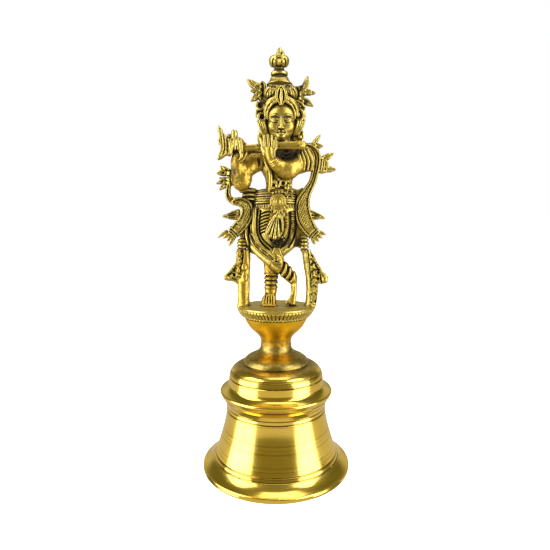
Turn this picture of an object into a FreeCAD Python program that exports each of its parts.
"""Brass puja bell: a turned bell, a cast handle with a flute player on a lotus plate, and a hanging clapper.

Millimetres, +Z up, origin on the bell's axis in the plane that its lip rests on. The flute player faces -Y.
Left and right are as seen from the front. The handle is one casting, cut apart at its natural creases.
"""

import FreeCAD, Part

import math
import os

V = FreeCAD.Vector
UP = V(0, 0, 1)
FRONT = V(0, -1, 0)

# Driving dimensions
LIP_R = 29.0
TOTAL_H = 168.0
SEAM_Z = 47.9            # where the bell's neck meets the handle's neck
PLATE_Z = 58.6           # underside of the petal plate
PLATE_TOP = 63.3
BOSS_R = 13.06
FLANGE_R = 22.4
FLANGE_Z = 29.3
CROWN_IN_Z = 39.5        # flat underside of the crown, where the washer bears
LIP_IN_R = 26.4
SHANK_R = 2.5            # M5 shank of the eye bolt
SHANK_FIT = 0.05
WASHER_T = 1.0
NUT_T = 2.7              # thin lock nut
WIRE_R = 0.75            # eye, ring and clapper rod
LINK_R = 2.6             # centreline radius of each eye and of the ring
LINK_PLAY = 0.03         # space between two wires where one hangs in the other
BALL_R = 7.0
BALL_Z = 9.0
PETALS = 36
GROOVE_R = 0.36

# Worked out from them
NUT_Z = CROWN_IN_Z - WASHER_T - NUT_T              # underside of the nut
EYE_Z = NUT_Z - 0.2 - LINK_R - WIRE_R              # centre of the eye bolt's eye
WIRE_STEP = 2 * LINK_R - 2 * WIRE_R - LINK_PLAY    # from one link's centre to the next one's
RING_Z = EYE_Z - WIRE_STEP
ROD_EYE_Z = RING_Z - WIRE_STEP


# Shapes

def spline(points):
    """A smooth edge through (r, z) points in the XZ plane."""
    curve = Part.BSplineCurve()
    curve.interpolate([V(x, 0, z) for x, z in points])
    return curve.toShape()


def line(a, b):
    return Part.makeLine(V(a[0], 0, a[1]), V(b[0], 0, b[1]))


def turned(edges):
    """Solid of revolution about Z from the edges of a closed outline in the XZ plane."""
    face = Part.Face(Part.Wire(edges))
    return face.revolve(V(0, 0, 0), UP, 360)


def turned_outline(points):
    """Solid of revolution from straight runs between (r, z) points."""
    ends = points[1:] + points[:1]
    return turned([line(a, b) for a, b in zip(points, ends)])


def column(sections):
    """Smooth upright form through horizontal ellipses (x, y, z, half width, half depth)."""
    wires = []
    for x, y, z, half_x, half_y in sections:
        wide, deep, turn = half_x, half_y, V(1, 0, 0)
        if half_y > half_x:
            wide, deep, turn = half_y, half_x, V(0, 1, 0)
        side = UP.cross(turn)
        centre = V(x, y, z)
        ring = Part.Ellipse(centre + turn * wide, centre + side * deep, centre)
        wires.append(Part.Wire(ring.toShape()))
    return Part.makeLoft(wires, True)


def ball(x, y, z, rx, ry, rz):
    """Ellipsoid on the point x, y, z."""
    stretch = FreeCAD.Matrix()
    stretch.scale(rx, ry, rz)
    stretch.move(V(x, y, z))
    return Part.makeSphere(1.0).transformGeometry(stretch)


def limb(*points):
    """Round limb through (x, y, z, radius) points, with a ball at each."""
    shape = None
    for x, y, z, r in points:
        knob = Part.makeSphere(r, V(x, y, z))
        shape = knob if shape is None else shape.fuse(knob)
    for a, b in zip(points, points[1:]):
        start, end = V(*a[:3]), V(*b[:3])
        run = end - start
        if abs(a[3] - b[3]) < 0.01:
            bone = Part.makeCylinder(a[3] * 0.985, run.Length, start, run)
        else:
            bone = Part.makeCone(a[3] * 0.985, b[3] * 0.985, run.Length, start, run)
        shape = shape.fuse(bone)
    return shape


def leaf(outline, back, front):
    """Flat form with a smooth outline of (x, z) points, from y = back forward to y = front."""
    curve = Part.BSplineCurve()
    curve.interpolate([V(x, back, z) for x, z in outline], PeriodicFlag=True)
    face = Part.Face(Part.Wire(curve.toShape()))
    return face.extrude(V(0, front - back, 0))


def facets(outline, back, front):
    """Flat form with a straight-sided outline of (x, z) points."""
    points = [V(x, back, z) for x, z in outline]
    face = Part.Face(Part.makePolygon(points + points[:1]))
    return face.extrude(V(0, front - back, 0))


def wire_ring(centre, axis):
    return Part.makeTorus(LINK_R, WIRE_R, centre, axis)


def joined(*shapes):
    shape = shapes[0]
    for other in shapes[1:]:
        shape = shape.fuse(other)
    return shape.removeSplitter()


# The turned bell

def bell_body():
    outer = [
        line((LIP_IN_R, 0), (LIP_R - 0.8, 0)),
        Part.Arc(V(LIP_R - 0.8, 0, 0), V(LIP_R - 0.2, 0, 0.25), V(LIP_R, 0, 0.9)).toShape(),
        line((LIP_R, 0.9), (LIP_R, 1.5)),
        Part.Arc(V(LIP_R, 0, 1.5), V(LIP_R - 0.15, 0, 1.85), V(LIP_R - 0.5, 0, 2.0)).toShape(),
        spline([(LIP_R - 0.5, 2.0), (26.6, 3.05), (24.6, 5.0)]),
        spline([(24.6, 5.0), (23.2, 8.4), (21.7, 13.1), (20.4, 18.2), (19.85, 23.4), (20.2, 25.8), (21.5, 27.8)]),
        line((21.5, 27.8), (21.75, 28.3)),
        line((21.75, 28.3), (FLANGE_R - 0.15, FLANGE_Z)),
        Part.Arc(V(FLANGE_R - 0.15, 0, FLANGE_Z), V(FLANGE_R, 0, FLANGE_Z + 0.5),
                 V(FLANGE_R - 0.2, 0, FLANGE_Z + 0.9)).toShape(),
        spline([(FLANGE_R - 0.2, FLANGE_Z + 0.9), (20.4, 30.9), (19.3, 31.8), (18.95, 33.2)]),
        spline([(18.95, 33.2), (18.8, 35.6), (18.2, 37.6), (16.6, 39.3), (BOSS_R - 0.1, 40.4)]),
        line((BOSS_R - 0.1, 40.4), (BOSS_R, 40.7)),
        line((BOSS_R, 40.7), (BOSS_R - 0.15, 41.5)),
        spline([(BOSS_R - 0.15, 41.5), (11.4, 43.0), (8.6, 44.4), (6.7, 45.9), (6.2, SEAM_Z)]),
        line((6.2, SEAM_Z), (SHANK_R + SHANK_FIT, SEAM_Z)),
        line((SHANK_R + SHANK_FIT, SEAM_Z), (SHANK_R + SHANK_FIT, CROWN_IN_Z)),
        line((SHANK_R + SHANK_FIT, CROWN_IN_Z), (10.0, CROWN_IN_Z)),
        spline([(10.0, CROWN_IN_Z), (14.6, 37.6), (16.9, 33.5), (17.3, 27.0), (18.2, 18.5),
                (20.6, 9.5), (23.3, 3.6), (LIP_IN_R, 0)]),
    ]
    bell = turned(outer)
    for r, z in [(24.75, 4.85), (24.0, 6.15), (19.9, 22.7), (19.86, 24.2), (21.5, 27.75),
                 (18.85, 35.4), (18.15, 37.75)]:
        bell = bell.cut(Part.makeTorus(r + 0.1, GROOVE_R, V(0, 0, z), UP))
    return bell


# Fastening and clapper

def eye_bolt():
    top = SEAM_Z + 7.6
    shank = Part.makeCylinder(SHANK_R, top - EYE_Z - LINK_R, V(0, 0, EYE_Z + LINK_R))
    shank = shank.makeChamfer(0.5, [edge for edge in shank.Edges if edge.CenterOfMass.z > top - 0.1])
    return joined(shank, wire_ring(V(0, 0, EYE_Z), FRONT))


def crown_washer():
    place = V(0, 0, CROWN_IN_Z - WASHER_T)
    return Part.makeCylinder(6.0, WASHER_T, place).cut(Part.makeCylinder(SHANK_R + SHANK_FIT, WASHER_T, place))


def crown_nut():
    flat_r = 4.0
    corner_r = flat_r / math.cos(math.pi / 6)
    corners = [math.pi / 3 * k for k in range(7)]
    hexagon = [V(corner_r * math.cos(a), corner_r * math.sin(a), NUT_Z) for a in corners]
    nut = Part.Face(Part.makePolygon(hexagon)).extrude(V(0, 0, NUT_T))
    chamfer = Part.makeCone(flat_r, flat_r + 2 * NUT_T, 2 * NUT_T, V(0, 0, NUT_Z))
    return nut.common(chamfer).cut(Part.makeCylinder(SHANK_R, NUT_T, V(0, 0, NUT_Z)))


def hanger_ring():
    return wire_ring(V(0, 0, RING_Z), V(1, 0, 0))


def clapper_rod():
    top = ROD_EYE_Z - LINK_R
    foot = BALL_Z - BALL_R - 0.25
    rod = Part.makeCylinder(WIRE_R, top - foot, V(0, 0, foot))
    rivet = Part.makeSphere(1.5, V(0, 0, foot)).cut(Part.makeBox(4, 4, 2, V(-2, -2, foot - 2.6)))
    collar = Part.makeCone(WIRE_R + 0.7, WIRE_R, 1.4, V(0, 0, BALL_Z + BALL_R - 0.05))
    return joined(wire_ring(V(0, 0, ROD_EYE_Z), FRONT), rod, rivet, collar).cut(ball_metal())


def ball_metal():
    body = Part.makeSphere(BALL_R, V(0, 0, BALL_Z))
    body = body.common(Part.makeCylinder(BALL_R, 2 * BALL_R - 0.5, V(0, 0, BALL_Z - BALL_R + 0.25)))
    return body.cut(Part.makeCylinder(WIRE_R, 3 * BALL_R, V(0, 0, BALL_Z - 1.5 * BALL_R)))


# The handle's foot

def handle_bowl():
    edges = [
        line((SHANK_R, SEAM_Z), (6.2, SEAM_Z)),
        spline([(6.2, SEAM_Z), (6.1, 49.2), (6.7, 50.9), (8.1, 52.5), (9.9, 54.1), (11.5, 56.2), (12.7, PLATE_Z)]),
        line((12.7, PLATE_Z), (0, PLATE_Z)),
        line((0, PLATE_Z), (0, SEAM_Z + 8.0)),
        line((0, SEAM_Z + 8.0), (SHANK_R, SEAM_Z + 8.0)),
        line((SHANK_R, SEAM_Z + 8.0), (SHANK_R, SEAM_Z)),
    ]
    return turned(edges)


def petal_plate():
    edge_r = 15.1
    plate = turned_outline([(0, PLATE_Z), (12.9, PLATE_Z), (edge_r, PLATE_TOP - 0.5),
                            (edge_r - 0.3, PLATE_TOP), (0, PLATE_TOP)])
    for k in range(PETALS):
        turn = math.radians(360 / PETALS * (k + 0.5))
        foot = V(13.1 * math.cos(turn), 13.1 * math.sin(turn), PLATE_Z - 0.2)
        head = V(15.6 * math.cos(turn), 15.6 * math.sin(turn), PLATE_TOP + 0.2)
        plate = plate.cut(Part.makeCylinder(0.35, (head - foot).Length, foot, head - foot))
    return plate


# The side pillars: mirrored but for their lean and their ornaments

def left_pillar():
    shaft = column([(-13.3, 0, 60.0, 2.0, 2.2), (-13.2, 0, PLATE_TOP, 2.5, 2.5), (-12.9, 0, 68, 2.4, 2.2),
                    (-12.9, 0, 77, 2.3, 2.1), (-12.9, 0, 85, 2.2, 2.1), (-12.8, 0, 88, 2.7, 2.5),
                    (-12.3, 0, 94, 1.9, 2.0)])
    bead = Part.makeSphere(1.6, V(-13.0, -1.6, 78.8))
    return joined(shaft, bead)


def right_pillar():
    return column([(12.9, 0, 59.5, 1.6, 2.2), (13.9, 0, PLATE_TOP, 2.2, 2.5), (14.5, 0, 68, 2.5, 2.2),
                   (14.2, 0, 75, 2.4, 2.2), (13.2, 0, 83, 2.3, 2.2), (12.9, 0, 87, 2.6, 2.5),
                   (12.2, 0, 94, 1.9, 2.0)])


def left_pillar_ornament():
    return facets([(-15.0, 82.0), (-17.4, 80.2), (-20.9, 74.9), (-20.6, 74.0), (-17.4, 73.2), (-14.8, 72.3)], 1.5, -1.5)


def right_pillar_ornament():
    return leaf([(15.0, 81.5), (17.2, 79.4), (20.2, 75.0), (20.4, 72.9), (17.6, 71.8), (14.8, 73.5)], 1.5, -1.5)


# Legs and lower garment

def standing_leg():
    shin = column([(-2.5, 0, PLATE_TOP, 2.6, 2.4), (-2.3, 0, 67, 2.3, 2.2), (-2.3, 0, 73.5, 2.6, 2.5),
                   (-2.0, 0, 78, 2.6, 2.6), (-1.6, 0, 88, 3.2, 3.0)])
    foot = ball(-2.6, -2.0, PLATE_TOP + 0.3, 3.2, 4.6, 1.9)
    return joined(shin, foot).cut(Part.makeBox(12, 14, 5, V(-9, -8, PLATE_TOP - 5)))


def crossed_leg():
    leg = limb((0.4, -2.2, 84.0, 3.3), (0.4, -2.8, 79.3, 3.4), (5.0, -2.4, 75.6, 2.8), (7.3, -1.6, 71.2, 1.9),
               (7.4, -1.2, 66.4, 1.5), (7.3, -1.2, 64.6, 1.5))
    toes = limb((7.3, -1.2, 64.6, 1.3), (5.0, -2.0, 64.2, 0.95))
    return joined(leg, toes).cut(Part.makeBox(20, 14, 5, V(-5, -8, PLATE_TOP - 5)))


def dhoti():
    return column([(0.4, -0.4, 82.6, 1.8, 2.4), (0.6, -0.3, 84.5, 3.4, 3.4), (0.2, 0, 88, 6.6, 4.5),
                   (-0.2, 0, 93.5, 8.7, 5.2), (-0.2, 0, 98, 8.8, 5.3), (-0.2, 0, 102.2, 8.6, 5.1)])


def waist_belt():
    return column([(-0.2, 0, 102.2, 8.7, 5.4), (-0.2, 0, 105.6, 8.8, 5.3), (-0.1, 0, 108.4, 8.5, 5.0),
                   (0.4, 0, 110.0, 7.0, 4.4)])


def belt_buckle():
    return Part.makeCylinder(3.4, 2.6, V(0.9, -4.4, 104.9), FRONT)


def sash_tassel():
    return leaf([(1.0, 101.4), (-1.4, 99.2), (-3.9, 93.4), (-3.2, 91.2), (-0.5, 90.2), (2.1, 91.6), (2.4, 96.5)],
                -3.5, -7.0)


# Body, arms and flute

def torso():
    trunk = column([(1.2, 0, 110.0, 5.5, 3.9), (1.2, 0, 112.5, 5.3, 3.9), (1.6, 0, 117, 6.6, 4.3),
                    (2.0, 0, 121, 8.0, 4.6), (2.0, 0, 124.5, 7.6, 4.2), (2.0, 0.3, 127.6, 4.4, 3.4),
                    (2.1, 0.5, 131.5, 3.2, 3.2)])
    return joined(trunk, ball(9.4, 0, 122.4, 3.6, 3.5, 3.8), ball(-5.4, 0, 123.4, 3.4, 3.3, 3.5))


def left_arm():
    return limb((-7.0, -0.8, 122.4, 3.2), (-11.4, -1.2, 120.4, 3.2), (-13.5, -1.6, 113.6, 4.3),
                (-14.2, -4.6, 119.6, 3.1), (-14.6, -6.0, 123.0, 2.2))


def right_arm():
    return limb((9.8, -2.0, 121.6, 3.2), (4.6, -5.0, 117.0, 3.7), (0.4, -7.0, 119.8, 2.5), (-2.2, -8.2, 123.0, 1.9))


def left_hand():
    return leaf([(-17.6, 124.1), (-17.2, 128.8), (-16.4, 131.5), (-14.6, 130.3), (-11.8, 128.4), (-11.3, 124.6),
                 (-13.4, 122.3)], -4.4, -10.2)


def right_hand():
    palm = limb((-3.2, -8.6, 124.6, 2.2), (-1.0, -8.6, 124.4, 2.3))
    fingers = [limb((x, -9.6, 125.4, 0.95), (x - 0.3, -9.6, tip, 0.8))
               for x, tip in [(-5.0, 128.6), (-3.2, 129.6), (-1.4, 129.7), (0.4, 128.9)]]
    return joined(palm, *fingers)


def flute():
    left_end = V(-19.5, -7.6, 125.2)
    right_end = V(10.6, -7.6, 127.0)
    run = right_end - left_end
    return Part.makeCylinder(1.4, run.Length, left_end, run)


def flute_finial():
    return leaf([(-17.9, 127.6), (-20.5, 129.3), (-22.3, 132.9), (-22.1, 127.0), (-22.4, 121.7), (-20.2, 123.0),
                 (-17.9, 124.2)], -6.4, -8.8)


def necklace():
    return leaf([(0.2, 125.3), (8.4, 125.3), (7.2, 122.7), (4.3, 121.5), (1.6, 122.5)], -2.4, -5.4)


# Head and crown

def head():
    return ball(2.2, -0.8, 137.6, 5.8, 5.7, 8.0)


def hair():
    return column([(2.0, 1.4, 130.6, 6.6, 3.8), (2.0, 1.2, 137, 7.8, 4.6), (1.9, 0.6, 143.5, 7.0, 5.8),
                   (1.8, 0, 147.5, 6.7, 6.3), (1.6, 0, 150.6, 6.2, 5.8), (1.5, 0, 152.2, 5.2, 5.0)])


def forehead_jewel():
    return ball(2.0, -5.8, 147.2, 2.3, 1.5, 3.5)


def crown_cone():
    return Part.makeCone(5.1, 3.7, 3.6, V(1.45, 0, 152.2))


def crown_ring():
    ring = Part.makeCylinder(3.0, 2.8, V(1.4, 0, 155.8))
    return joined(ring, Part.makeTorus(2.5, 1.15, V(1.4, 0, 157.0), UP))


def crown_finial():
    globe = ball(1.25, 0, 161.4, 4.2, 4.2, 3.9)
    neck = Part.makeCylinder(2.7, 2.0, V(1.3, 0, 157.6))
    bud = limb((1.3, 0, 164.6, 1.9), (1.3, 0, TOTAL_H - 1.3, 1.3))
    return joined(globe, neck, bud)


def left_ear_ornament():
    return leaf([(-2.6, 147.4), (-6.6, 147.0), (-8.2, 142.4), (-8.0, 137.0), (-7.0, 133.2), (-7.2, 130.2),
                 (-3.4, 130.4), (-2.6, 138.0)], 2.0, -2.6)


def right_ear_ornament():
    return leaf([(7.6, 147.4), (10.6, 146.8), (11.9, 142.2), (11.4, 136.0), (11.2, 131.4), (9.2, 129.6),
                 (6.6, 132.0), (7.0, 140.0)], 2.0, -2.6)


def left_crown_leaves():
    return leaf([(-3.9, 152.2), (-6.4, 153.4), (-11.4, 154.8), (-9.8, 151.2), (-9.9, 146.6), (-6.8, 147.4),
                 (-4.6, 147.6)], 1.6, -1.8)


def right_crown_leaves():
    return leaf([(8.3, 148.6), (9.4, 152.0), (12.5, 156.0), (13.1, 152.4), (15.6, 149.6), (13.4, 147.4),
                 (14.5, 144.5), (10.6, 145.4)], 1.6, -1.8)


# Scarves

def left_scarf():
    band = leaf([(-19.4, 110.2), (-20.6, 108.2), (-19.6, 105.0), (-16.2, 103.6), (-18.8, 98.6), (-16.6, 96.4),
                 (-21.8, 91.3), (-17.8, 88.6), (-12.4, 94.0), (-9.2, 100.2), (-9.9, 106.2), (-13.4, 107.4),
                 (-17.6, 106.6), (-18.2, 109.4)], 2.2, -2.2)
    spike = facets([(-15.5, 101.5), (-21.6, 99.2), (-16.4, 97.2)], 1.2, -1.2)
    return joined(band, spike)


def right_scarf():
    band = leaf([(9.4, 127.0), (11.4, 128.7), (15.0, 126.4), (16.4, 121.6), (15.2, 115.6), (13.9, 109.8),
                 (13.5, 104.2), (15.6, 97.6), (18.6, 92.4), (16.6, 88.4), (14.2, 88.0), (11.2, 92.2), (8.2, 96.6),
                 (7.3, 101.6), (9.6, 106.2), (12.2, 111.6), (12.2, 118.6), (10.8, 123.4)], 2.2, -2.2)
    spike = facets([(14.0, 101.8), (19.2, 99.4), (15.0, 97.4)], 1.2, -1.2)
    return joined(band, spike)


def left_scarf_bow():
    return leaf([(-17.4, 117.4), (-19.6, 117.2), (-22.9, 119.8), (-21.6, 115.6), (-23.6, 111.4), (-20.2, 110.6),
                 (-17.6, 112.8)], 1.4, -1.6)


def right_scarf_flourish():
    upper = leaf([(11.8, 127.4), (14.4, 128.4), (17.3, 131.9), (17.3, 128.6), (15.4, 125.2)], 1.4, -1.6)
    lower = leaf([(15.4, 122.6), (18.6, 122.2), (22.8, 124.9), (21.4, 121.4), (24.0, 118.8), (19.4, 117.2),
                  (15.6, 118.6)], 1.4, -1.6)
    return joined(upper, lower, limb((15.0, 0, 126.4, 1.0), (16.6, 0, 121.4, 1.0)))


def largest(shape):
    """The biggest solid of a shape, without the slivers that a cut leaves."""
    return max(shape.Solids, key=lambda solid: solid.Volume)


def touching(a, b):
    return a.BoundBox.intersect(b.BoundBox)


def cut_apart(makers):
    """Solids of a casting's features. Where two meet, the metal stays with the one named first."""
    solids = {}
    for maker in makers:
        shape = maker()
        for other in solids.values():
            if touching(shape, other):
                shape = shape.cut(other)
        solids[maker.__name__] = largest(shape)
    return solids


SEPARATE = [bell_body, eye_bolt, crown_washer, crown_nut, hanger_ring, clapper_rod]
CASTING = [handle_bowl, petal_plate, torso, head, flute, dhoti, waist_belt, left_pillar, right_pillar,
           standing_leg, crossed_leg, left_arm, right_arm, left_hand, right_hand, belt_buckle, sash_tassel,
           necklace, forehead_jewel, hair, crown_cone, crown_ring, crown_finial, flute_finial,
           left_ear_ornament, right_ear_ornament, left_crown_leaves, right_crown_leaves, left_scarf,
           right_scarf, left_scarf_bow, right_scarf_flourish, left_pillar_ornament, right_pillar_ornament]

os.makedirs("parts", exist_ok=True)
solids = {maker.__name__: largest(maker()) for maker in SEPARATE}
solids["clapper_ball"] = ball_metal()
solids.update(cut_apart(CASTING))
for name, solid in solids.items():
    solid.exportStep(f"parts/{name}.step")
    print(f"{name:24s} {solid.Volume:9.1f} mm3 valid {solid.isValid()}")
